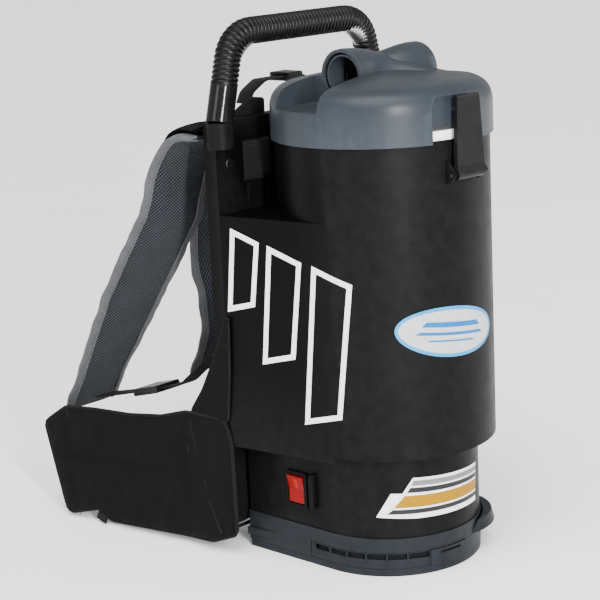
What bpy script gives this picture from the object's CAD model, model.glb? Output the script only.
import math
import bmesh
import bpy
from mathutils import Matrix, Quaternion, Vector, noise


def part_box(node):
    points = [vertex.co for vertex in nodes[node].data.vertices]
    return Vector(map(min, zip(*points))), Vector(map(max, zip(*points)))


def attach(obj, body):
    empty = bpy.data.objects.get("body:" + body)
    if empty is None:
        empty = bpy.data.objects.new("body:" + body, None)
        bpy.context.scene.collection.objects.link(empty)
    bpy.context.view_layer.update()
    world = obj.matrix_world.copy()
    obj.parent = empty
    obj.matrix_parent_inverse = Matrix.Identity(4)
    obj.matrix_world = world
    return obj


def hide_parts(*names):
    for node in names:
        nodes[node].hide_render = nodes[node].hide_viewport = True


# Backpack vacuum cleaner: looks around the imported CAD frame. Metres, +Z up, the wearer's side is +Y.

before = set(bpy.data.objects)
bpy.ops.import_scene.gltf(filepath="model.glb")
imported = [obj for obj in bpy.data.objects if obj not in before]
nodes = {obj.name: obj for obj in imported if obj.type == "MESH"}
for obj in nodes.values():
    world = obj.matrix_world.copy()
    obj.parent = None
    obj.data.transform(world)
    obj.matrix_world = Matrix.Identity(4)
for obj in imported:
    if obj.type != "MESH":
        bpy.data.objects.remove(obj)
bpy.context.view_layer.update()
scene = bpy.context.scene
MM = 0.001
WEB = 1.5 * MM  # thickness of the webbing
UP = Vector((0, 0, 1))
ACROSS = Vector((1, 0, 0))
REARWARD = Vector((0, 1, 0))


# ---- materials ------------------------------------------------------------------------------


class Shader:
    """A material's node tree, with short calls for the nodes that the materials here share."""

    def __init__(self, name, roughness=0.5, specular=0.5, metallic=0.0):
        self.material = bpy.data.materials.new(name)
        self.material.use_nodes = True
        self.tree = self.material.node_tree
        self.bsdf = self.tree.nodes["Principled BSDF"]
        self.bsdf.inputs["Roughness"].default_value = roughness
        self.bsdf.inputs["Specular IOR Level"].default_value = specular
        self.bsdf.inputs["Metallic"].default_value = metallic
        self.coords = self.tree.nodes.new("ShaderNodeTexCoord")

    def new(self, kind, **values):
        made = self.tree.nodes.new(kind)
        for key, value in values.items():
            setattr(made, key, value)
        return made

    def link(self, source, target):
        self.tree.links.new(source, target)

    def mapped(self, source="Object", scale=(1, 1, 1), turn=0.0):
        """Texture coordinates stretched by scale and turned about Z."""
        mapping = self.new("ShaderNodeMapping")
        mapping.inputs["Scale"].default_value = scale
        mapping.inputs["Rotation"].default_value = (0, 0, turn)
        self.link(self.coords.outputs[source], mapping.inputs["Vector"])
        return mapping.outputs["Vector"]

    def noise(self, scale, detail=3.0, rough=0.5, vector=None):
        made = self.new("ShaderNodeTexNoise")
        made.inputs["Scale"].default_value = scale
        made.inputs["Detail"].default_value = detail
        made.inputs["Roughness"].default_value = rough
        self.link(vector or self.coords.outputs["Object"], made.inputs["Vector"])
        return made.outputs["Fac"]

    def cells(self, scale, randomness=1.0, vector=None, feature="F1"):
        made = self.new("ShaderNodeTexVoronoi", feature=feature)
        made.inputs["Scale"].default_value = scale
        made.inputs["Randomness"].default_value = randomness
        self.link(vector or self.coords.outputs["Object"], made.inputs["Vector"])
        return made.outputs["Distance"]

    def wave(self, scale, direction, vector):
        made = self.new("ShaderNodeTexWave", bands_direction=direction)
        made.inputs["Scale"].default_value = scale
        self.link(vector, made.inputs["Vector"])
        return made.outputs["Fac"]

    def math(self, operation, first, second):
        """Arithmetic on two values, each a number or a socket."""
        made = self.new("ShaderNodeMath", operation=operation)
        for socket, value in zip(made.inputs, (first, second)):
            if isinstance(value, (int, float)):
                socket.default_value = value
            else:
                self.link(value, socket)
        return made.outputs["Value"]

    def mix(self, factor, first, second):
        """The values of two sockets, mixed by factor."""
        made = self.new("ShaderNodeMix")
        for socket, value in zip((made.inputs[0], *made.inputs[2:4]), (factor, first, second)):
            self.link(value, socket)
        return made.outputs[0]

    def ramp(self, factor, *stops):
        """A colour ramp; each stop is (position, (red, green, blue))."""
        made = self.new("ShaderNodeValToRGB")
        elements = made.color_ramp.elements
        while len(elements) < len(stops):
            elements.new(0.5)
        for element, (position, colour) in zip(elements, stops):
            element.position = position
            element.color = (*colour, 1)
        self.link(factor, made.inputs["Fac"])
        return made.outputs["Color"]

    def tint(self, base, factor, amount):
        """base multiplied by greys from 1 - amount to 1 + amount by factor."""
        shade = self.ramp(factor, (0.25, [1 - amount] * 3), (0.75, [1 + amount] * 3))
        made = self.new("ShaderNodeMix", data_type="RGBA", blend_type="MULTIPLY")
        made.inputs[0].default_value = 1.0
        self.link(base, made.inputs[6])
        self.link(shade, made.inputs[7])
        return made.outputs[2]

    def bump(self, height, distance, strength=1.0, normal=None):
        made = self.new("ShaderNodeBump")
        made.inputs["Distance"].default_value = distance
        made.inputs["Strength"].default_value = strength
        self.link(height, made.inputs["Height"])
        if normal is not None:
            self.link(normal, made.inputs["Normal"])
        self.link(made.outputs["Normal"], self.bsdf.inputs["Normal"])

    def soft_edges(self, radius):
        """A shading normal that rounds sharp edges by radius."""
        made = self.new("ShaderNodeBevel", samples=4)
        made.inputs["Radius"].default_value = radius
        return made.outputs["Normal"]

    def colour(self, socket):
        self.link(socket, self.bsdf.inputs["Base Color"])

    def roughness(self, factor, low, high):
        spread = self.ramp(factor, (0.3, [low] * 3), (0.7, [high] * 3))
        self.link(spread, self.bsdf.inputs["Roughness"])

    def sheen(self, weight, roughness=0.5):
        self.bsdf.inputs["Sheen Weight"].default_value = weight
        self.bsdf.inputs["Sheen Roughness"].default_value = roughness


def plastic(name, colour, roughness, grain=1400, grain_depth=0.00002, edge=0.0007, specular=0.5):
    """Moulded plastic: faint colour drift, fine spark-eroded grain, paler rubbed edges and small scuffs."""
    s = Shader(name, roughness, specular)
    drift = s.noise(14, 4)
    base = s.ramp(drift, (0.3, [c * 0.9 for c in colour]), (0.7, [c * 1.08 + 0.0003 for c in colour]))
    pointed = s.new("ShaderNodeNewGeometry").outputs["Pointiness"]
    worn = s.ramp(pointed, (0.52, (0, 0, 0)), (0.6, (1, 1, 1)))
    rubbed = s.math("MULTIPLY", worn, s.noise(90, 3))
    blend = s.new("ShaderNodeMix", data_type="RGBA")
    s.link(rubbed, blend.inputs[0])
    s.link(base, blend.inputs[6])
    blend.inputs[7].default_value = (*[min(1, c * 1.5 + 0.006) for c in colour], 1)
    s.colour(blend.outputs[2])
    s.roughness(s.noise(60, 5, 0.6), roughness * 0.88, min(1, roughness * 1.15))
    s.bump(s.noise(grain, 2), grain_depth, 0.6, s.soft_edges(edge))
    return s.material


def metal(name, colour, roughness):
    """Turned or pressed metal with fine drawn lines and slight tarnish."""
    s = Shader(name, roughness, 0.5, 1.0)
    tarnish = s.noise(40, 4)
    s.colour(s.ramp(tarnish, (0.3, [c * 0.82 for c in colour]), (0.7, colour)))
    lines = s.noise(300, 2, vector=s.mapped(scale=(1, 1, 12)))
    s.roughness(lines, roughness * 0.8, roughness * 1.3)
    s.bump(lines, 0.00001, 0.5, s.soft_edges(0.0003))
    return s.material


def rubber(name, colour):
    """Dull rubber with a powdery bloom."""
    s = Shader(name, 0.75, 0.3)
    s.colour(s.ramp(s.noise(55, 5), (0.35, colour), (0.7, [c * 1.5 + 0.008 for c in colour])))
    s.bump(s.noise(900, 3), 0.00004, 0.6, s.soft_edges(0.0004))
    return s.material


def foam(name, colour):
    """Open-cell foam: round pores at about a millimetre."""
    s = Shader(name, 0.95, 0.2)
    pores = s.cells(900, 1.0)
    dark = [c * 0.35 for c in colour]
    s.colour(s.tint(s.ramp(pores, (0.1, dark), (0.5, colour)), s.noise(30, 3), 0.12))
    s.bump(pores, 0.0004, 0.9)
    return s.material


def felt(name, colour):
    """Pressed filter cloth with loose fibres."""
    s = Shader(name, 0.95, 0.2)
    fibres = s.noise(500, 6, 0.8, s.mapped(scale=(1, 1, 0.35)))
    s.colour(s.ramp(fibres, (0.3, [c * 0.72 for c in colour]), (0.7, colour)))
    s.bump(fibres, 0.0004, 0.8)
    s.sheen(0.4)
    return s.material


def woven(name, colour, thread, pitch, sheen=0.25, worn=0.12):
    """Plain-woven cloth: crossing yarns of the given pitch in metres, read from the UV map."""
    s = Shader(name, 0.9, 0.05)
    uv = s.mapped("UV", (1 / pitch, 1 / pitch, 1))
    checker = s.new("ShaderNodeTexChecker")
    checker.inputs["Scale"].default_value = 1.0
    s.link(uv, checker.inputs["Vector"])
    yarns = s.mix(checker.outputs["Fac"], s.wave(0.314, "X", uv), s.wave(0.314, "Y", uv))
    tone = s.ramp(yarns, (0.1, colour), (0.85, thread))
    s.colour(s.tint(s.tint(tone, s.noise(26, 5, 0.6), worn), s.noise(420, 3), 0.14))
    s.bump(yarns, pitch * 0.3, 0.9)
    s.sheen(sheen)
    return s.material


def webbing_cloth(name, colour, thread):
    """Strap webbing: lengthwise herringbone ribs crossed by a fine weft, read from the UV map."""
    s = Shader(name, 0.75, 0.07)
    uv = s.mapped("UV", (1000, 1000, 1))
    ribs = s.wave(0.157, "X", uv)
    slanted = s.mapped("UV", (1000, 1000, 1), math.radians(38))
    weft = s.wave(0.42, "Y", slanted)
    height = s.math("MULTIPLY", s.math("ADD", ribs, weft), 0.5)
    s.colour(s.tint(s.ramp(height, (0.15, colour), (0.9, thread)), s.noise(120, 4), 0.15))
    s.bump(height, 0.0005, 0.9)
    s.sheen(0.03)
    return s.material


def spacer_mesh(name, hole, thread, pitch):
    """Air-mesh lining: slanted rows of light thread loops over a dark ground, read from the UV map."""
    s = Shader(name, 0.9, 0.25)
    uv = s.mapped("UV", (1 / pitch, 1 / pitch, 1), math.radians(-52))
    rows = s.wave(0.314, "Y", uv)
    loops = s.wave(0.42, "X", uv)
    height = s.math("MULTIPLY", s.math("ADD", s.math("MULTIPLY", rows, 1.3), loops), 0.44)
    tone = s.ramp(height, (0.38, hole), (0.62, [(a + b) / 2.6 for a, b in zip(hole, thread)]), (0.88, thread))
    s.colour(s.tint(s.tint(tone, s.noise(1500, 3), 0.22), s.noise(30, 4), 0.2))
    s.bump(height, pitch * 0.4, 1.0)
    s.sheen(0.03)
    return s.material


def fuzzy(name, colour, tip):
    """Brushed binding tape: short nap with soft lumps."""
    s = Shader(name, 0.95, 0.2)
    nap = s.noise(1300, 5, 0.7)
    s.colour(s.tint(s.ramp(nap, (0.3, colour), (0.72, tip)), s.noise(60, 4), 0.16))
    s.bump(nap, 0.0007, 1.0)
    s.sheen(0.08, 0.4)
    return s.material


def printed(name, colour, roughness=0.35):
    """Printed vinyl film: even ink, a faint ripple and dust specks."""
    s = Shader(name, roughness, 0.1)
    s.colour(s.ramp(s.noise(130, 4), (0.3, [c * 0.93 for c in colour]), (0.6, colour)))
    s.bump(s.noise(120, 2), 0.00003, 0.5)
    return s.material


def thread_line(name, colour):
    """Sewing thread, twisted."""
    s = Shader(name, 0.7, 0.3)
    twist = s.noise(2500, 2)
    s.colour(s.ramp(twist, (0.35, [c * 0.6 for c in colour]), (0.65, colour)))
    s.bump(twist, 0.0001, 0.6)
    return s.material


def lamp_plastic(name, colour):
    """Clear coloured switch lens, brighter where the lamp sits behind its middle."""
    s = Shader(name, 0.24, 0.08)
    s.colour(s.ramp(s.noise(50, 3), (0.3, [c * 0.82 for c in colour]), (0.7, colour)))
    s.bsdf.inputs["Coat Weight"].default_value = 0.04
    s.bsdf.inputs["Emission Color"].default_value = (*colour, 1)
    s.bsdf.inputs["Emission Strength"].default_value = 0.1
    s.bump(s.noise(300, 2), 0.00003, 0.4, s.soft_edges(0.0006))
    return s.material


BLACK = (0.0011, 0.0011, 0.0013)
BODY = plastic("bin_plastic", BLACK, 0.40, 1500, 0.00003, specular=0.06)
PLATE = plastic("plate_plastic", BLACK, 0.45, 1100, 0.00005, specular=0.05)
GREY = plastic("casing_plastic", (0.019, 0.0235, 0.029), 0.36, 1300, 0.00003, specular=0.16)
GREY_DARK = plastic("tray_plastic", (0.003, 0.0036, 0.0045), 0.5, 1100, 0.00004, specular=0.1)
GREY_BASE = plastic("base_plastic", (0.0058, 0.0074, 0.0095), 0.42, 1300, 0.00003, specular=0.1)
STEEL_BLACK = metal("blackened_steel", (0.06, 0.06, 0.062), 0.38)
LATCH = plastic("latch_plastic", BLACK, 0.30, 1600, 0.00002, specular=0.12)
WHITE = plastic("rim_plastic", (0.74, 0.74, 0.70), 0.4, 1200, 0.00003)
GLOSS = plastic("handle_gloss", BLACK, 0.14, 400, 0.00001, specular=0.28)
GRIP = plastic("grip_rubber", (0.0014, 0.0014, 0.0016), 0.38, 1200, 0.00005, 0.0003, specular=0.16)
BUCKLE = plastic("buckle_plastic", (0.0014, 0.0014, 0.0016), 0.34, 1200, 0.00003, 0.0008, specular=0.16)
SEAL = rubber("seal_rubber", (0.02, 0.02, 0.021))
FOOT = rubber("foot_rubber", (0.03, 0.03, 0.032))
STEEL = metal("steel", (0.62, 0.62, 0.63), 0.32)
ALUMINIUM = metal("aluminium", (0.72, 0.72, 0.74), 0.42)
COPPER = metal("windings", (0.58, 0.27, 0.13), 0.35)
CARBON = rubber("carbon", (0.016, 0.016, 0.017))
FOAM = foam("filter_foam", (0.006, 0.006, 0.0065))
CLOTH_WHITE = felt("filter_cloth", (0.62, 0.61, 0.57))
ROCKER = lamp_plastic("rocker_lens", (0.17, 0.0015, 0.001))
ROCKER_PALE = lamp_plastic("rocker_window", (0.30, 0.010, 0.004))
MESH = spacer_mesh("strap_mesh", (0.0012, 0.0018, 0.003), (0.050, 0.057, 0.070), 0.0033)
BINDING = fuzzy("strap_binding", (0.012, 0.013, 0.014), (0.13, 0.133, 0.14))
PAD = woven("pad_cloth", (0.0010, 0.0010, 0.0011), (0.0062, 0.0062, 0.0066), 0.0013, sheen=0.01)
PIPING = woven("piping_cloth", (0.0022, 0.0022, 0.0024), (0.010, 0.010, 0.0105), 0.0009, sheen=0.03)
WEBBING = webbing_cloth("webbing", (0.0016, 0.0016, 0.0018), (0.009, 0.009, 0.0095))
THREAD = thread_line("sewing_thread", (0.035, 0.035, 0.036))
INK_WHITE = printed("ink_white", (0.80, 0.80, 0.79))
INK_BLUE = printed("ink_blue", (0.002, 0.12, 0.36))
INK_PALE = printed("ink_pale_blue", (0.03, 0.24, 0.52))
INK_GREY = printed("ink_grey", (0.02, 0.021, 0.023))
INK_SILVER = printed("ink_silver", (0.16, 0.165, 0.17))
INK_YELLOW = printed("ink_yellow", (0.30, 0.15, 0.0))
INK_LABEL = printed("ink_label", (0.44, 0.45, 0.47))

NODE_MATERIALS = {
    BODY: ["bin_shell", "motor_housing"],
    PLATE: ["back_plate", "switch_guard", "switch_bezel", "power_inlet", "latch_brackets"],
    GREY: ["lid_shell", "hose_socket"],
    GREY_BASE: ["base_ring", "exhaust_tray", "foot_plate"],
    GREY_DARK: ["exhaust_grille", "inlet_grille", "motor_cradle"],
    LATCH: ["latch_lever_front", "latch_lever_rear"],
    WHITE: ["filter_rim"],
    GLOSS: ["handle_legs"],
    BUCKLE: ["adjuster_buckles", "belt_buckles", "lifter_buckle"],
    SEAL: ["lid_gasket", "motor_mount_ring"],
    FOOT: ["rubber_feet"],
    STEEL: ["motor_shaft", "shaft_bearings", "handle_tube"],
    STEEL_BLACK: ["latch_pins", "plate_screws", "harness_bolts"],
    ALUMINIUM: ["fan_casing", "fan_impeller", "motor_frame"],
    COPPER: ["stator_core", "armature"],
    CARBON: ["carbon_brushes"],
    FOAM: ["acoustic_foam", "exhaust_foam", "motor_filter"],
    ROCKER: ["switch_rocker"],
}
for material, names in NODE_MATERIALS.items():
    for node_name in names:
        mesh = nodes[node_name].data
        mesh.materials.clear()
        mesh.materials.append(material)


# ---- mesh helpers ---------------------------------------------------------------------------


def add_object(name, build, *materials):
    """A smooth-shaded object from a bmesh, which is used up."""
    mesh = bpy.data.meshes.new(name)
    build.to_mesh(mesh)
    build.free()
    made = bpy.data.objects.new(name, mesh)
    scene.collection.objects.link(made)
    for material in materials:
        mesh.materials.append(material)
    mesh.polygons.foreach_set("use_smooth", [True] * len(mesh.polygons))
    return made


def finish_piece(piece, body, slot_name, *replaced):
    """Rides the piece on its body, names its slot, and says which CAD nodes it stands for."""
    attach(piece, body)
    if replaced:
        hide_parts(*replaced)
    return piece


def webbing_piece(piece, *replaced):
    return finish_piece(piece, "housing", "webbing_black", *replaced)


def resample(points, step):
    """Points evenly spaced along a polyline, about step apart, with its two ends kept."""
    lengths = [(b - a).length for a, b in zip(points, points[1:])]
    count = max(2, round(sum(lengths) / step))
    spacing = sum(lengths) / count
    made, travelled, index = [points[0].copy()], 0.0, 0
    for n in range(1, count):
        target = n * spacing
        while travelled + lengths[index] < target:
            travelled += lengths[index]
            index += 1
        made.append(points[index].lerp(points[index + 1], (target - travelled) / lengths[index]))
    return made + [points[-1].copy()]


def rounded_path(corners, radius, step):
    """A polyline with its corners turned into arcs, sampled about every step."""
    corners = [Vector(c) for c in corners]
    points = [corners[0]]
    for before, corner, after in zip(corners, corners[1:], corners[2:]):
        to_before, to_after = (before - corner).normalized(), (after - corner).normalized()
        half = to_before.angle(to_after) / 2
        reach = min(radius / math.tan(half), 0.49 * min((before - corner).length, (after - corner).length))
        bend = reach * math.tan(half)
        center = corner + (to_before + to_after).normalized() * bend / math.sin(half)
        first, last = corner + to_before * reach - center, corner + to_after * reach - center
        turn, axis = first.angle(last), first.cross(last).normalized()
        points += [center + Quaternion(axis, turn * n / 8) @ first for n in range(9)]
    return resample(points + [corners[-1]], step)


def directions(points):
    """The path's direction at each of its points."""
    ends = [points[0]] + points + [points[-1]]
    return [(after - before).normalized() for before, after in zip(ends, ends[2:])]


def loft(name, rings, *materials, caps=True, closed=False, face_material=None):
    """A skin over equally long rings of points, with a UV map in metres: u round a ring, v along."""
    count = len(rings[0])
    b = bmesh.new()
    uv = b.loops.layers.uv.new("UVMap")
    rows = [[b.verts.new(p) for p in ring] for ring in rings]
    around = [0.0]
    for first, second in zip(rings[0], rings[0][1:] + rings[0][:1]):
        around.append(around[-1] + (Vector(second) - Vector(first)).length)
    along = [0.0]
    for first, second in zip(rings, rings[1:]):
        along.append(along[-1] + (Vector(second[0]) - Vector(first[0])).length)
    pairs = list(zip(range(len(rows)), range(1, len(rows))))
    if closed:
        along.append(along[-1] + (Vector(rings[0][0]) - Vector(rings[-1][0])).length)
        pairs.append((len(rows) - 1, 0))
    for lower, upper in pairs:
        for n in range(count):
            after = (n + 1) % count
            face = b.faces.new((rows[lower][n], rows[lower][after], rows[upper][after], rows[upper][n]))
            if face_material:
                face.material_index = face_material(n)
            top = lower + 1
            for corner, place in zip(face.loops, ((n, lower), (n + 1, lower), (n + 1, top), (n, top))):
                corner[uv].uv = (around[place[0]], along[place[1]])
    if caps and not closed:
        b.faces.new(rows[0][::-1])
        b.faces.new(rows[-1])
    bmesh.ops.recalc_face_normals(b, faces=b.faces)
    return add_object(name, b, *materials)


def circle_ring(center, along, radius, count=10, side=None):
    """A ring of points round center, square to along."""
    first = (side or (UP if abs(along.z) < 0.9 else ACROSS)).cross(along).normalized()
    second = along.cross(first)
    turns = [math.tau * n / count for n in range(count)]
    return [center + radius * (math.cos(t) * first + math.sin(t) * second) for t in turns]


def tube(name, points, radius, material, closed=False, count=10):
    """A round cord of cloth or thread along points."""
    if closed:
        ring = [points[-1]] + points + [points[0]]
        ways = [(after - before).normalized() for before, after in zip(ring, ring[2:])]
    else:
        ways = directions(points)
    rings = [circle_ring(p, way, radius, count) for p, way in zip(points, ways)]
    return loft(name, rings, material, closed=closed)


def strip(name, points, side, width, thickness=WEB):
    """Flat webbing along points: side is across it, with rounded selvedges."""
    half, edge = width / 2, thickness / 2
    outline = [(half, 0), (half - edge * 0.6, edge), (0, edge * 1.05), (-half + edge * 0.6, edge)]
    outline += [(-half, 0), (-half + edge * 0.6, -edge), (0, -edge * 1.05), (half - edge * 0.6, -edge)]
    rings = []
    for p, way in zip(points, directions(points)):
        across = (side - way * side.dot(way)).normalized()
        normal = way.cross(across)
        rings.append([p + across * a + normal * t for a, t in outline])
    return loft(name, rings, WEBBING)


def stitches(name, points, pitch=0.0045, length=0.0028, radius=0.00035):
    """A row of short thread stitches along points, as one piece."""
    b = bmesh.new()
    sizes = ((-0.5, 0.35), (-0.25, 1.0), (0.25, 1.0), (0.5, 0.35))
    points = resample(points, pitch)
    for p, way in zip(points, directions(points)):
        rows = []
        for place, size in sizes:
            ring = circle_ring(p + way * length * place, way, radius * size, 5)
            rows.append([b.verts.new(q) for q in ring])
        for lower, upper in zip(rows, rows[1:]):
            for n in range(5):
                b.faces.new((lower[n], lower[(n + 1) % 5], upper[(n + 1) % 5], upper[n]))
        b.faces.new(rows[0][::-1])
        b.faces.new(rows[-1])
    return webbing_piece(add_object(name, b, THREAD))


def box_uv(obj):
    """Gives every face a UV map in metres, seen along the axis that the face looks along."""
    mesh = obj.data
    layer = mesh.uv_layers.get("UVMap") or mesh.uv_layers.new(name="UVMap")
    planes = {0: (1, 2), 1: (0, 2), 2: (0, 1)}
    for polygon in mesh.polygons:
        facing = max(range(3), key=lambda axis: abs(polygon.normal[axis]))
        first, second = planes[facing]
        for corner in polygon.loop_indices:
            place = mesh.vertices[mesh.loops[corner].vertex_index].co
            layer.data[corner].uv = (place[first], place[second])


def distance_to_line(p, a, b):
    """Distance in a plane from p to the segment a-b."""
    along = (b[0] - a[0], b[1] - a[1])
    length_squared = along[0] ** 2 + along[1] ** 2 or 1e-12
    t = ((p[0] - a[0]) * along[0] + (p[1] - a[1]) * along[1]) / length_squared
    t = min(1, max(0, t))
    return math.hypot(p[0] - a[0] - t * along[0], p[1] - a[1] - t * along[1])


def distance_to_path(p, path, closed=False):
    pairs = list(zip(path, path[1:] + (path[:1] if closed else [])))
    return min(distance_to_line(p, a, b) for a, b in pairs)


def flat_outline(corners, radius, step):
    """A closed outline in a plane with rounded corners, sampled about every step."""
    middle = ((corners[0][0] + corners[-1][0]) / 2, (corners[0][1] + corners[-1][1]) / 2)
    ring = [(*middle, 0)] + [(*c, 0) for c in corners] + [(*middle, 0)]
    return [(p.x, p.y) for p in rounded_path(ring, radius, step)[:-1]]


def quilted(
    name, outline, place, thickness, step, front, back,
    seams=(), edge=1.6 * MM, rise=12 * MM, wrinkle=1.2 * MM, pinch=0.7,
):
    """A stuffed panel cut to outline: fat in the middle, drawn in at its hem and along its seams.
    place(u, v, w) turns a point of the panel, w metres off its middle surface, into the row frame."""
    b = bmesh.new()
    b.faces.new([b.verts.new((u, v, 0)) for u, v in outline])
    for axis in (0, 1):
        values = [p[axis] for p in outline]
        normal = Vector((axis == 0, axis == 1, 0))
        for n in range(1, int((max(values) - min(values)) / step) + 1):
            at = Vector((0, 0, 0))
            at[axis] = min(values) + n * step
            geometry = b.verts[:] + b.edges[:] + b.faces[:]
            bmesh.ops.bisect_plane(b, geom=geometry, dist=1e-5, plane_co=at, plane_no=normal)
    bmesh.ops.remove_doubles(b, verts=b.verts, dist=step * 0.12)
    flat = [v.co.copy() for v in b.verts]
    halves = []
    b.verts.index_update()
    hem = {v.index for v in b.verts if v.is_boundary}
    for index, p in enumerate(flat):
        inward = distance_to_path((p.x, p.y), outline, closed=True)
        share = min(1, inward / rise)
        half = edge / 2 + (thickness - edge) / 2 * math.sqrt(max(0, 1 - (1 - share) ** 2))
        for seam in seams:
            half *= 1 - pinch * math.exp(-((distance_to_path((p.x, p.y), seam) / 0.0035) ** 2))
        if index in hem:
            half = edge / 2
        halves.append(half)
    faces = [[v.index for v in f.verts] for f in b.faces]
    rim = [[v.index for v in e.verts] for e in b.edges if e.is_boundary]
    b.free()
    made = bmesh.new()
    uv = made.loops.layers.uv.new("UVMap")
    sides = []
    for sign in (1, -1):
        row = []
        for p, half in zip(flat, halves):
            ripple = noise.noise(Vector((p.x * 28, p.y * 40, sign * 3)))
            crease = 1 - abs(noise.noise(Vector((p.x * 34 + p.y * 16, p.y * 15, sign * 3 + 9)))) * 5
            drift = wrinkle * (ripple + 0.9 * max(0, crease)) * min(1, half / edge - 1)
            row.append(made.verts.new(place(p.x, p.y, sign * half + drift)))
        sides.append(row)
    for sign_index, row in enumerate(sides):
        for face in faces:
            order = face if sign_index == 0 else face[::-1]
            new = made.faces.new([row[i] for i in order])
            new.material_index = sign_index
            for corner, i in zip(new.loops, order):
                corner[uv].uv = (flat[i].x, flat[i].y)
    for first, second in rim:
        new = made.faces.new((sides[0][first], sides[0][second], sides[1][second], sides[1][first]))
        for corner, i in zip(new.loops, (first, second, second, first)):
            corner[uv].uv = (flat[i].x, flat[i].y)
    bmesh.ops.recalc_face_normals(made, faces=made.faces)
    return add_object(name, made, front, back)


def swell(obj, voxel, pressure, cap):
    """Blows the closed mesh up a little as stuffed cloth, and keeps each point within cap of its start."""
    remesh = obj.modifiers.new("remesh", "REMESH")
    remesh.mode = "VOXEL"
    remesh.voxel_size = voxel
    remesh.use_smooth_shade = True
    shapes = bpy.context.evaluated_depsgraph_get()
    dense = bpy.data.meshes.new_from_object(obj.evaluated_get(shapes))
    obj.modifiers.clear()
    materials = list(obj.data.materials)
    obj.data = dense
    dense.materials.clear()
    for material in materials:
        dense.materials.append(material)
    start = [v.co.copy() for v in dense.vertices]
    cloth = obj.modifiers.new("cloth", "CLOTH")
    cloth.settings.use_pressure = True
    cloth.settings.uniform_pressure_force = pressure
    cloth.settings.effector_weights.gravity = 0
    cloth.settings.quality = 5
    cloth.settings.mass = 0.3
    for number in range(1, 21):
        scene.frame_set(number)
    shapes = bpy.context.evaluated_depsgraph_get()
    moved = [v.co.copy() for v in obj.evaluated_get(shapes).data.vertices]
    obj.modifiers.clear()
    scene.frame_set(1)
    for vertex, before, after in zip(dense.vertices, start, moved):
        step = after - before
        if step.length > cap:
            step *= cap / step.length
        vertex.co = before + step
    dense.update()
    return obj


# ---- carry handle: ribbed grip ----------------------------------------------------------------
grip_low, grip_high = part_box("handle_grip")
GRIP_RADIUS = (grip_high.y - grip_low.y) / 2
GRIP_Y = (grip_high.y + grip_low.y) / 2
GRIP_PITCH = 5 * MM
GRIP_STEP = GRIP_PITCH / 8
GRIP_RIDGE = 1.5 * MM
GRIP_COLLAR = 5 * MM
handle_top = grip_high.z - GRIP_RADIUS
handle_corner_x = 95.5 * MM
handle_foot_x = 117.5 * MM
leg_lean = (handle_foot_x - handle_corner_x) / (85 * MM)
grip_end_z = 486 * MM
grip_end_x = handle_corner_x + (handle_top - grip_end_z) * leg_lean
grip_path = rounded_path(
    [
        (-grip_end_x, GRIP_Y, grip_end_z),
        (-handle_corner_x, GRIP_Y, handle_top),
        (handle_corner_x, GRIP_Y, handle_top),
        (grip_end_x, GRIP_Y, grip_end_z),
    ],
    52 * MM,
    GRIP_STEP,
)
grip_rings = []
for number, (point, way) in enumerate(zip(grip_path, directions(grip_path))):
    ridge = abs(math.sin(math.pi * number * GRIP_STEP / GRIP_PITCH)) ** 0.7
    near_end = min(number, len(grip_path) - 1 - number) * GRIP_STEP
    collar = 1 if near_end < GRIP_COLLAR else ridge
    radius = GRIP_RADIUS - GRIP_RIDGE * (1 - collar)
    grip_rings.append(circle_ring(point, way, radius, 40, side=REARWARD))
handle_grip = loft("grip_ribbed", grip_rings, GRIP)
finish_piece(handle_grip, "housing", "grip_ribbed", "handle_grip")

# ---- shoulder straps: air-mesh face, black outer face, bound edges -----------------------------
STRAP_WIDTH = 75 * MM
STRAP_THICKNESS = 10 * MM
BINDING_WIDTH = 6.8 * MM
STRAP_STEP = 4 * MM
STRAP_TWIST = math.radians(17)
STRAP_LEFT = [(134, 435), (172, 431), (196, 392), (213, 345), (282, 250), (349, 147), (369, 114)]
STRAP_RIGHT = [
    (134, 434), (196, 428), (268, 402), (315, 359), (343, 296),
    (347, 250), (338, 200), (342, 160), (366, 112),
]
STRAP_X = 95 * MM
STRAP_BEND = 60 * MM
STRAP_SECTION = 44
HEM_SHARE = 0.30


def hem_share(reach):
    """How thick the strap is at reach, from 0 at its middle to 1 at its edge, as a share of its middle."""
    return HEM_SHARE + (1 - HEM_SHARE) * (1 - reach**3.2)


def strap_path(sign, corners):
    points = [(sign * STRAP_X, y * MM, z * MM) for y, z in corners]
    return rounded_path(points, STRAP_BEND, STRAP_STEP)


def strap_profile(side_of_loop, half_width, half_thick):
    """A point of the strap's padded cross-section at the given turn in radians."""
    c, s = math.cos(side_of_loop), math.sin(side_of_loop)
    a = math.copysign(abs(c) ** 0.55, c)
    t = math.copysign(abs(s) ** 0.9, s)
    return a * half_width, t * half_thick * hem_share(abs(a))


def strap_station(n, count, key):
    """How the strap's half width and half thickness wander along its length."""
    place = n / count
    lump = noise.noise(Vector((place * 9, key, 0)))
    swell_by = noise.noise(Vector((place * 14, key + 5, 1)))
    end = min(1, min(place, 1 - place) / 0.03)
    half_width = STRAP_WIDTH / 2 - 0.8 * MM + lump * 0.9 * MM
    half_thick = (STRAP_THICKNESS / 2 - 0.4 * MM) * (0.93 + 0.12 * swell_by) * (0.45 + 0.55 * end)
    return half_width, half_thick


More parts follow.
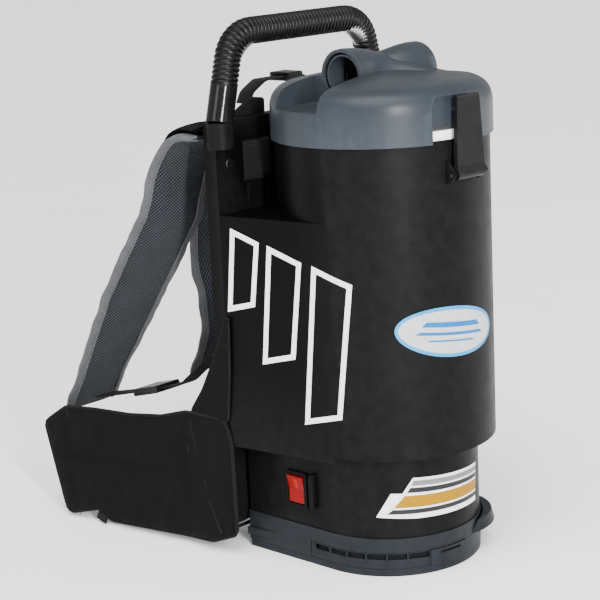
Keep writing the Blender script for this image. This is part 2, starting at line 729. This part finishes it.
def shoulder_strap(side_name, sign, corners):
    path = strap_path(sign, corners)
    ways = directions(path)
    count = len(path) - 1
    body_rings = []
    binding_rings = {-1: [], 1: []}
    rim_points = {(-1, -1): [], (-1, 1): [], (1, -1): [], (1, 1): []}
    for n, (p, way) in enumerate(zip(path, ways)):
        turn = STRAP_TWIST * math.sin(math.pi * min(1, n / count * 1.15)) ** 0.8
        across = Quaternion(way, turn) @ ACROSS
        normal = way.cross(across).normalized()
        half_width, half_thick = strap_station(n, count, sign * 3)
        ring = []
        for k in range(STRAP_SECTION):
            a, t = strap_profile(math.tau * (k + 0.5) / STRAP_SECTION, half_width, half_thick)
            ripple = 0.35 * MM * noise.noise(Vector((a * 90, n * 0.35, sign * 2)))
            ring.append(p + across * a + normal * (t + ripple))
        body_rings.append(ring)
        for edge in (-1, 1):
            wave = 2.4 * MM * noise.noise(Vector((n * 0.2, edge * 4, sign * 7)))
            inner = half_width - BINDING_WIDTH
            wrap = []
            for a_share, lift in ((0, -0.2), (0.02, 1.15), (0.3, 1.3), (0.6, 1.25), (0.9, 1.0)):
                a = inner + wave * 0.3 + a_share * BINDING_WIDTH
                reach = min(1, a / half_width)
                thick = half_thick * hem_share(reach) * (1 - reach**3.6) ** 0.25
                wrap.append((a, thick + lift * MM))
            tip = half_width + 0.7 * MM + wave
            loop = wrap + [(tip, 1.3 * MM), (tip + 0.3 * MM, 0), (tip, -1.3 * MM)]
            loop += [(a, -t) for a, t in wrap[::-1]]
            binding_rings[edge].append([p + across * edge * a + normal * t for a, t in loop])
            for face in (-1, 1):
                seam_a = wrap[1][0] - 0.3 * MM
                at = p + across * edge * seam_a + normal * face * (wrap[1][1] - 0.3 * MM)
                rim_points[(edge, face)].append(at)

    outer_first = ways[0].cross(ACROSS).z > 0
    faces = (PAD, MESH) if outer_first else (MESH, PAD)
    half_ring = STRAP_SECTION // 2
    body = loft(f"strap_body_{side_name}", body_rings, *faces, face_material=lambda k: k // half_ring)
    finish_piece(body, "housing", "strap_mesh", f"shoulder_strap_{side_name}")
    for edge, label in ((-1, "a"), (1, "b")):
        binding = loft(f"strap_binding_{side_name}_{label}", binding_rings[edge], BINDING)
        finish_piece(binding, "housing", "strap_mesh")
        for face, face_label in ((-1, "under"), (1, "over")):
            cord_name = f"strap_piping_{side_name}_{label}_{face_label}"
            cord = tube(cord_name, rim_points[(edge, face)], 1.0 * MM, BINDING, count=8)
            finish_piece(cord, "housing", "strap_mesh")


HOOD_RINGS = 18
HOOD_SECTION = 28


def strap_hood(side_name, sign, corners):
    """Black cloth over the top of a strap's outer side, sewn down where the strap leaves the plate."""
    path = strap_path(sign, corners[:4])[:HOOD_RINGS]
    rings = []
    for n, (p, way) in enumerate(zip(path, directions(path))):
        out = ACROSS.cross(way).normalized()
        bulge = math.sin(math.pi * min(1, (n + 4) / 21))
        lift = 4.2 * MM + 6.5 * MM * bulge
        half, thick = 35 * MM - 0.35 * MM * n, 1.5 * MM
        ring = []
        for k in range(HOOD_SECTION):
            turn = math.tau * k / HOOD_SECTION
            a = half * math.copysign(abs(math.cos(turn)) ** 0.4, math.cos(turn))
            crown = 2.5 * MM * (1 - (a / half) ** 2)
            crease = 0.9 * MM * noise.noise(Vector((a * 60, n * 0.5, sign)))
            ring.append(p + ACROSS * a + out * (lift + crown + crease + thick * math.sin(turn)))
        rings.append(ring)
    finish_piece(loft(f"strap_hood_{side_name}", rings, PAD), "housing", "pad_black")


shoulder_strap("left", -1, STRAP_LEFT)
strap_hood("left", -1, STRAP_LEFT)
strap_hood("right", 1, STRAP_RIGHT)
shoulder_strap("right", 1, STRAP_RIGHT)

# ---- waist belt wings, hip gussets and back pads -------------------------------------------------
BELT_PLAN = [(126, 107), (130, 180), (143, 280), (156, 372)]
BELT_OUTLINE = [
    (107, 24), (142, 10), (286, 5), (304, 16), (350, 3), (375, 106), (342, 128),
    (300, 131), (250, 132), (205, 137), (170, 147), (116, 147), (108, 120),
]
BELT_THICKNESS = 12.6 * MM
GUSSET_OUTLINE = [
    (101, 270), (113, 240), (128, 207), (146, 174), (164, 150),
    (166, 139), (127.4, 139), (110, 148), (104, 200),
]
GUSSET_X = 126.8 * MM
WELT_POINTS = [(160, 140, 6), (152, 112, 6), (138, 60, 6), (124, 24, 6)]
TAB_POINTS = [(296, 26, -2), (297, 14, 0), (300, 3, 2.5)]


def belt_place(sign):
    """Puts a point of a flat belt wing onto the wing's curve round the hip."""
    plan = rounded_path([(x * MM, y * MM, 0) for x, y in BELT_PLAN], 150 * MM, 3 * MM)
    ways = directions(plan)

    def place(u, v, w):
        n = min(range(len(plan)), key=lambda i: abs(plan[i].y - u))
        along = (u - plan[n].y) / ways[n].y
        p = plan[n] + ways[n] * along
        outward = Vector((ways[n].y, -ways[n].x, 0))
        at = p + outward * w
        return Vector((sign * at.x, at.y, v))

    return place


def metres(outline):
    return [tuple(value * MM for value in point) for point in outline]


def panel_edge(name, outline, place, radius):
    """Piping round a panel's hem."""
    points = [place(u, v, 0) for u, v in outline]
    webbing_piece(tube(name, points, radius, PIPING, closed=True, count=8))


def seam_rows(name, seams, place, lift):
    """Stitches along each seam on the panel's outer side."""
    for number, seam in enumerate(seams, start=1):
        stitches(f"{name}_{number}", [place(u, v, lift) for u, v in seam])


belt_hem = flat_outline(metres(BELT_OUTLINE), 9 * MM, 5 * MM)
BELT_SEAMS = ([(168, 12), (168, 143)], [(330, 6), (338, 124)], [(172, 84), (332, 74)])
belt_seams = [metres(seam) for seam in BELT_SEAMS]
gusset_hem = flat_outline(metres(GUSSET_OUTLINE), 4 * MM, 5 * MM)
for side_name, sign in (("left", -1), ("right", 1)):
    place = belt_place(sign)
    wing = quilted(
        f"belt_wing_{side_name}", belt_hem, place, BELT_THICKNESS, 5 * MM, PAD, MESH,
        seams=belt_seams, rise=14 * MM, wrinkle=2.6 * MM, pinch=0.55,
    )
    smooth = wing.modifiers.new("smooth", "SUBSURF")
    smooth.levels = smooth.render_levels = 1
    finish_piece(wing, "housing", "pad_black", f"waist_belt_{side_name}")
    panel_edge(f"belt_piping_{side_name}", belt_hem, place, 2.0 * MM)
    seam_rows(f"belt_stitch_{side_name}", belt_seams[:2], place, 3.2 * MM)
    welt = resample([place(*point) for point in metres(WELT_POINTS)], 4 * MM)
    webbing_piece(tube(f"belt_welt_{side_name}", welt, 1.7 * MM, PIPING, count=8))
    tab = resample([place(*point) for point in metres(TAB_POINTS)], 3 * MM)
    webbing_piece(strip(f"belt_tab_{side_name}", tab, REARWARD, 17 * MM))
    lining_edge = [(u, v) for u, v in belt_hem if v > 100 * MM and 150 * MM < u < 350 * MM]
    rim = [place(u, v - 1.5 * MM, -4.2 * MM) for u, v in sorted(lining_edge)]
    rim_piece = tube(f"belt_lining_rim_{side_name}", rim, 1.6 * MM, BINDING, count=8)
    finish_piece(rim_piece, "housing", "strap_mesh")

    def gusset_place(u, v, w, sign=sign):
        return Vector((sign * (GUSSET_X + w), u, v))

    gusset = quilted(
        f"gusset_{side_name}", gusset_hem, gusset_place, 3.6 * MM, 5 * MM, PAD, PAD,
        rise=5 * MM, wrinkle=0.5 * MM,
    )
    finish_piece(gusset, "housing", "pad_black", f"hip_gusset_{side_name}")
    panel_edge(f"gusset_piping_{side_name}", gusset_hem, gusset_place, 1.2 * MM)


def press_seam(obj, seams, depth, reach):
    """Draws a pad in along seams given as lists of (x, z) points, on its outer side."""
    middle = sum((v.co.y for v in obj.data.vertices)) / len(obj.data.vertices)
    for vertex in obj.data.vertices:
        near = min(distance_to_path((vertex.co.x, vertex.co.z), seam) for seam in seams)
        pull = depth * math.exp(-((near / reach) ** 2))
        if vertex.co.y > middle:
            vertex.co.y -= pull
    obj.data.update()


def box_outline(low_u, high_u, low_v, high_v):
    return [(low_u, low_v), (high_u, low_v), (high_u, high_v), (low_u, high_v)]


def back_cushion(name, node, radius, thickness, seams):
    """A stuffed pad in the space of its CAD solid, blown up as cloth and then sewn through."""
    low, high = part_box(node)
    slack = 3 * MM
    corners = box_outline(low.x + slack, high.x - slack, low.z + slack, high.z - slack)
    hem = flat_outline(corners, radius, 7 * MM)
    middle_y = (low.y + high.y) / 2 if thickness is None else high.y - thickness / 2
    thick = (thickness or high.y - low.y) - slack
    lowest_y = low.y if thickness is None else middle_y - thick / 2

    def place(u, v, w):
        return Vector((u, middle_y + w, v))

    pad = quilted(name, hem, place, thick, 7 * MM, MESH, MESH, edge=5 * MM, wrinkle=0.8 * MM)
    swell(pad, 5 * MM, 4, 5 * MM)
    press_seam(pad, seams, 5 * MM, 4.5 * MM)
    for vertex in pad.data.vertices:
        vertex.co.y = min(max(vertex.co.y, lowest_y), high.y + 4 * MM)
    box_uv(pad)
    pad.data.polygons.foreach_set("use_smooth", [True] * len(pad.data.polygons))
    pad.data.materials.clear()
    for cover in (MESH, PAD):
        pad.data.materials.append(cover)
    for polygon in pad.data.polygons:
        polygon.material_index = 0 if polygon.normal.y > 0.35 else 1
    smooth = pad.modifiers.new("smooth", "SUBSURF")
    smooth.levels = smooth.render_levels = 1
    finish_piece(pad, "housing", "pad_black", node)
    hem_outline = [(u * 1.008, v) for u, v in hem]
    panel_edge(f"{name}_piping", hem_outline, place, 2.0 * MM)


lumbar_seams = [metres([(x, 22), (x, 190)]) for x in (-62, 0, 62)]
back_cushion("lumbar_cushion", "lumbar_pad", 14 * MM, 24 * MM, lumbar_seams)
back_seams = [metres([(-80, z), (80, z)]) for z in (254, 297, 340)]
back_cushion("back_cushion", "back_pad", 25 * MM, None, back_seams)

# ---- webbing ------------------------------------------------------------------------------------
ADJUSTER_POINTS = [(127, 208.6), (152, 207), (204, 164), (300, 138), (344, 127.5)]
LIFTER_TAB = [(79, 429), (79, 457), (55, 469), (35, 466), (36, 429)]
LIFTER_ARCH = [(-53, 461), (-47, 472), (-28, 482.3), (28, 482.3), (47, 472), (53, 461)]
LIFTER_Y = 126.75 * MM
FLAT_WEB = 1.4 * MM  # the narrower webbing


def lifter_place(u, v, w):
    return Vector((u, LIFTER_Y + w, v))


for side_name, sign in (("left", -1), ("right", 1)):
    low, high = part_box(f"strap_anchor_{side_name}")
    mid_x = (low.x + high.x) / 2
    front_y, rear_y = low.y + WEB / 2, high.y - WEB / 2
    top_z, bottom_z, start_z = high.z - WEB / 2, low.z + WEB / 2, high.z - 2 * WEB
    start = (front_y, start_z)
    loop = (start, (front_y, top_z), (rear_y, top_z), (rear_y, bottom_z), (front_y, bottom_z), start)
    points = rounded_path([(mid_x, y, z) for y, z in loop], 1.2 * MM, 2.5 * MM)
    webbing_piece(strip(f"anchor_webbing_{side_name}", points, ACROSS, 39 * MM), f"strap_anchor_{side_name}")

    tail = [Vector((mid_x, high.y + 0.9 * MM, z * MM)) for z in (404, 396, 388, 380, 372, 362)]
    for slot_label, slot_z in (("upper", 427.0), ("lower", 390.4)):
        through = [Vector((mid_x, low.y + y * MM, slot_z * MM)) for y in (1.6, 5.0, 9.0, 13.0)]
        webbing_piece(strip(f"anchor_fold_{slot_label}_{side_name}", through, ACROSS, 37.4 * MM, 4.6 * MM))
    webbing_piece(strip(f"anchor_tail_{side_name}", tail, ACROSS, 40 * MM))

    drop = rounded_path([(sign * STRAP_X, y * MM, z * MM) for y, z in ADJUSTER_POINTS], 30 * MM, 5 * MM)
    adjuster = strip(f"adjuster_strap_{side_name}", drop, ACROSS, 25 * MM, FLAT_WEB)
    webbing_piece(adjuster, f"adjuster_webbing_{side_name}")

    tab_corners = [(sign * x * MM, z * MM) for x, z in LIFTER_TAB][::-sign]
    tab = quilted(
        f"lifter_tab_{side_name}", flat_outline(tab_corners, 3 * MM, 4 * MM), lifter_place, WEB, 4 * MM,
        WEBBING, WEBBING, edge=1.1 * MM, rise=4 * MM, wrinkle=0,
    )
    webbing_piece(tab, f"lifter_webbing_{side_name}")

lifter_low, lifter_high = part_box("lifter_strap")
lifter_mid = (lifter_low.y + lifter_high.y) / 2
arch = rounded_path([(x * MM, lifter_mid, z * MM) for x, z in LIFTER_ARCH], 14 * MM, 3 * MM)
lifter = strip("lifter_arch", arch, REARWARD, lifter_high.y - lifter_low.y, FLAT_WEB)
webbing_piece(lifter, "lifter_strap")

# ---- filter bag: pleated cloth cup hanging in the bin --------------------------------------------
bag_low, bag_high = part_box("filter_bag")
BAG_TOP = bag_high.x
BAG_LOW = BAG_TOP - 14 * MM
BAG_PLEATS = 36
bag_rings = []
for inner in (0, 1):
    heights = range(0, 13)
    for n in heights if inner == 0 else reversed(heights):
        share = n / 12
        z = bag_low.z + inner * 2 * MM * (1 - share) + share * (bag_high.z - bag_low.z)
        radius = BAG_LOW + (BAG_TOP - BAG_LOW) * share - inner * 1.6 * MM
        depth = 2.2 * MM * math.sin(math.pi * min(1, share * 1.02)) ** 0.5
        ring = []
        for k in range(BAG_PLEATS * 6):
            turn = math.tau * k / (BAG_PLEATS * 6)
            fold = radius - depth * (0.5 + 0.5 * math.cos(turn * BAG_PLEATS))
            ring.append(Vector((fold * math.cos(turn), fold * math.sin(turn), z)))
        bag_rings.append(ring)
bag = loft("filter_bag_cloth", bag_rings, CLOTH_WHITE)
finish_piece(bag, "housing", "filter_cloth", "filter_bag")

# ---- printed film on the casing ---------------------------------------------------------------
BIN_RADIUS = 106.5 * MM
PLATE_CORNER = (124.5 * MM, 109 * MM)
corner_reach = math.hypot(*PLATE_CORNER)
tangent_turn = math.atan2(PLATE_CORNER[1], PLATE_CORNER[0]) - math.acos(BIN_RADIUS / corner_reach)
tangent_point = Vector((-BIN_RADIUS * math.cos(tangent_turn), BIN_RADIUS * math.sin(tangent_turn), 0))
rear_way = (Vector((-PLATE_CORNER[0], PLATE_CORNER[1], 0)) - tangent_point).normalized()
FILM = 0.35 * MM
FILM_STEP = 2 * MM
BASE_RADIUS = 91.3 * MM
BASE_CENTER_Y = 4.6 * MM


def on_side(s, z, lift):
    """A point on the left fairing (s below 0, towards the plate) or round the bin (s above 0)."""
    if s <= 0:
        outward = Vector((-rear_way.y, rear_way.x, 0))
        outward = outward if outward.x < 0 else -outward
        at = tangent_point + rear_way * -s + outward * lift
    else:
        turn = math.pi - tangent_turn + s / BIN_RADIUS
        at = Vector((math.cos(turn), math.sin(turn), 0)) * (BIN_RADIUS + lift)
    return Vector((at.x, at.y, z))


def on_bin(s, z, lift):
    """A point on the bin, s metres round from the middle of its front."""
    turn = -math.pi / 2 + s / BIN_RADIUS
    return Vector(((BIN_RADIUS + lift) * math.cos(turn), (BIN_RADIUS + lift) * math.sin(turn), z))


def on_base(s, z, lift):
    """A point on the motor housing, s metres round from the middle of its front."""
    turn = -math.pi / 2 + s / BASE_RADIUS
    reach = BASE_RADIUS + lift
    return Vector((reach * math.cos(turn), BASE_CENTER_Y + reach * math.sin(turn), z))


def film(name, outlines, place, material, lift):
    """Thin printed film: outlines are closed loops of (s, z), the first outside and any others holes."""
    b = bmesh.new()
    edges = []
    for outline in outlines:
        ring = [b.verts.new((s, z, 0)) for s, z in outline]
        edges += [b.edges.new(pair) for pair in zip(ring, ring[1:] + ring[:1])]
    bmesh.ops.triangle_fill(b, use_beauty=True, edges=edges)
    lowest = min(v.co.x for v in b.verts)
    highest = max(v.co.x for v in b.verts)
    cuts = [lowest + n * FILM_STEP for n in range(1, int((highest - lowest) / FILM_STEP) + 1)]
    for cut in cuts + [0]:
        geometry = b.verts[:] + b.edges[:] + b.faces[:]
        bmesh.ops.bisect_plane(b, geom=geometry, dist=1e-6, plane_co=(cut, 0, 0), plane_no=(1, 0, 0))
    grown = bmesh.ops.extrude_face_region(b, geom=b.faces[:])["geom"]
    top = {v for v in grown if isinstance(v, bmesh.types.BMVert)}
    for v in b.verts:
        v.co = place(v.co.x, v.co.y, lift if v in top else 0.05 * MM)
    bmesh.ops.recalc_face_normals(b, faces=b.faces)
    made = add_object(name, b, material)
    made.data.polygons.foreach_set("use_smooth", [False] * len(made.data.polygons))
    finish_piece(made, "housing", "body_black")


def inset(outline, amount):
    """A convex outline, moved inwards by amount."""
    moved = []
    count = len(outline)
    area = sum(a[0] * b[1] - b[0] * a[1] for a, b in zip(outline, outline[1:] + outline[:1]))
    turn = 1 if area > 0 else -1
    for n in range(count):
        before, at, after = (Vector(outline[(n + k) % count]) for k in (-1, 0, 1))
        first, second = (at - before).normalized(), (after - at).normalized()
        first_in = Vector((-first.y, first.x)) * turn
        second_in = Vector((-second.y, second.x)) * turn
        bisector = (first_in + second_in).normalized()
        moved.append(tuple(at + bisector * amount / max(0.3, bisector.dot(first_in))))
    return moved


def slanted_bar(low_s, width, low_z, high_z, lean, cut):
    """A leaning bar with one upper corner cut off."""
    rise = high_z - low_z
    return [
        (low_s, low_z),
        (low_s + width, low_z + width * 0.25),
        (low_s + width + lean * rise, high_z - width * 0.35),
        (low_s + width + lean * rise - cut, high_z - width * 0.35 + cut * 0.35),
        (low_s + lean * rise, high_z),
    ]


LINE = 5.4 * MM
for number, (low_s, width, low_z, high_z) in enumerate(
    ((-122, 34, 262, 348), (-82, 40, 212, 334), (-34, 44, 156, 318)), start=1
):
    outline = slanted_bar(low_s * MM, width * MM, low_z * MM, high_z * MM, 0.10, 12 * MM)
    film(f"side_stripe_{number}", [outline, inset(outline, LINE)], on_side, INK_WHITE, FILM)


def leaning(points, center, turn):
    """Points in the film's plane, turned about center."""
    c, s = math.cos(turn), math.sin(turn)
    moved = [(p[0] - center[0], p[1] - center[1]) for p in points]
    return [(center[0] + c * a - s * b, center[1] + s * a + c * b) for a, b in moved]


def ellipse(center_s, center_z, half_s, half_z, count=64):
    turns = [math.tau * n / count for n in range(count)]
    return [(center_s + half_s * math.cos(t), center_z + half_z * math.sin(t)) for t in turns]


LABEL_S = -math.radians(13) * BIN_RADIUS
LABEL_Z = 250 * MM
LABEL_MIDDLE = (LABEL_S, LABEL_Z)
LABEL_TURN = -math.radians(7)
label_outer = leaning(ellipse(LABEL_S, LABEL_Z, 62 * MM, 25 * MM), LABEL_MIDDLE, LABEL_TURN)
label_inner = leaning(ellipse(LABEL_S, LABEL_Z, 58.5 * MM, 21.5 * MM), LABEL_MIDDLE, LABEL_TURN)
film("label_border", [label_outer, label_inner], on_bin, INK_PALE, FILM)
film("label_face", [label_inner], on_bin, INK_LABEL, FILM * 0.9)
for number, (rise, half, thick) in enumerate(((7, 36, 5), (-2, 42, 3), (-9, 30, 1.6)), start=1):
    bar = [
        (LABEL_S - half * MM, LABEL_Z + (rise - thick / 2) * MM),
        (LABEL_S + half * MM, LABEL_Z + (rise - thick / 2) * MM),
        (LABEL_S + (half - 5) * MM, LABEL_Z + (rise + thick / 2) * MM),
        (LABEL_S - (half - 5) * MM, LABEL_Z + (rise + thick / 2) * MM),
    ]
    film(f"label_bar_{number}", [leaning(bar, LABEL_MIDDLE, LABEL_TURN)], on_bin, INK_BLUE, FILM * 1.5)


def base_point(turn, z):
    """Film coordinates on the housing for an azimuth in degrees and a height in millimetres."""
    return (math.radians(turn - 270) * BASE_RADIUS, z * MM)


def base_band(points):
    return [base_point(turn, z) for turn, z in points]


band_outline = base_band(
    [(211.3, 62.5), (236.6, 59.5), (290, 57), (292, 96.5), (235, 102), (228, 86.4), (220.8, 87)]
)
film("base_stripe_border", [band_outline], on_base, INK_WHITE, FILM)
stripe_rows = (
    ("silver", INK_SILVER, [(235.5, 99), (291, 93.5), (290.9, 88.5), (233.5, 94)]),
    ("grey", INK_GREY, [(233, 92), (290.8, 86.5), (290.7, 82), (231, 87)]),
    ("yellow", INK_YELLOW, [(229.5, 84), (290.5, 80), (290.3, 69), (222.5, 72)]),
    ("grey_low", INK_GREY, [(222, 70), (290.2, 67), (290.1, 62.5), (218, 65.5)]),
)
for label, ink, points in stripe_rows:
    film(f"base_stripe_{label}", [base_band(points)], on_base, ink, FILM * 1.5)

# ---- switch window -----------------------------------------------------------------------------
rocker_low, rocker_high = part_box("switch_rocker")
ROCKER_FACE_X = -93.75 * MM  # where the rocker's upper face starts to lean outwards
ROCKER_PIVOT_Z = 77 * MM
ROCKER_LEAN = 3.6 / 14.6
WINDOW_HALF = (3.6 * MM, 5.6 * MM)
WINDOW_RISE = 6.5 * MM


def squircle(turn, half):
    """A point of a rectangle with round corners at the given turn in radians."""
    c, s = math.cos(turn), math.sin(turn)
    return math.copysign(abs(c) ** 0.35, c) * half[0], math.copysign(abs(s) ** 0.35, s) * half[1]


window_points = [squircle(math.tau * n / 24, WINDOW_HALF) for n in range(24)]
rocker_mid = (rocker_low + rocker_high) / 2
window_rings = []
for depth, size in ((1.2, 1.0), (-0.35, 1.0), (-0.6, 0.9)):
    ring = []
    for y, z in window_points:
        height = WINDOW_RISE + z * size
        face_x = ROCKER_FACE_X - height * ROCKER_LEAN
        ring.append(Vector((face_x + depth * MM, rocker_mid.y + y * size, ROCKER_PIVOT_Z + height)))
    window_rings.append(ring)
window = loft("rocker_window", window_rings, ROCKER_PALE)
finish_piece(window, "rocker", "rocker_red")

# ---- floor, light and camera ----------------------------------------------------------------------


def floor_material():
    s = Shader("floor", 0.6, 0.3)
    s.colour(s.ramp(s.noise(3, 3), (0.3, (0.88, 0.88, 0.88)), (0.7, (0.91, 0.91, 0.91))))
    s.bump(s.noise(400, 2), 0.0001, 0.3)
    return s.material


FLOOR_HALF = 80
floor_build = bmesh.new()
bmesh.ops.create_grid(floor_build, x_segments=2, y_segments=2, size=FLOOR_HALF)
floor = add_object("floor", floor_build, floor_material())
floor.location.z = -0.2 * MM

world = bpy.data.worlds.new("studio")
world.use_nodes = True
world.node_tree.nodes["Background"].inputs["Color"].default_value = (1, 1, 1, 1)
world.node_tree.nodes["Background"].inputs["Strength"].default_value = 0.62
scene.world = world


def look_at(obj, target):
    obj.rotation_euler = (Vector(target) - obj.location).to_track_quat("-Z", "Y").to_euler()


def soft_light(name, place, target, size_x, size_y, power):
    lamp = bpy.data.lights.new(name, "AREA")
    lamp.shape = "RECTANGLE"
    lamp.size, lamp.size_y = size_x, size_y
    lamp.energy = power
    made = bpy.data.objects.new(name, lamp)
    scene.collection.objects.link(made)
    made.location = place
    look_at(made, target)


sun_data = bpy.data.lights.new("sun", "SUN")
sun_data.energy = 5.2
sun_data.angle = math.radians(50)
sun = bpy.data.objects.new("sun", sun_data)
scene.collection.objects.link(sun)
sun.location = (-1.2, -0.8, 3.0)
look_at(sun, (0, 0, 0))
soft_light("key", (-1.30, -2.15, 1.0), (0, 0, 0.28), 0.16, 1.3, 130)
soft_light("fill", (-2.6, 0.3, 0.9), (0, 0.1, 0.25), 0.9, 1.4, 16)
soft_light("edge", (2.0, -1.1, 0.9), (0, 0, 0.3), 0.35, 1.5, 20)

EYE = Vector((-1.2878, -1.1159, 0.6750))
AIM = Vector((-0.0614, 0.0638, 0.26667))
ROLL = math.radians(2.70)
camera_data = bpy.data.cameras.new("camera")
camera_data.sensor_width = 36
camera_data.lens = 103.8
camera = bpy.data.objects.new("camera", camera_data)
scene.collection.objects.link(camera)
camera.location = EYE
camera.rotation_mode = "QUATERNION"
camera.rotation_quaternion = (AIM - EYE).to_track_quat("-Z", "Y") @ Quaternion((0, 0, 1), -ROLL)
scene.camera = camera
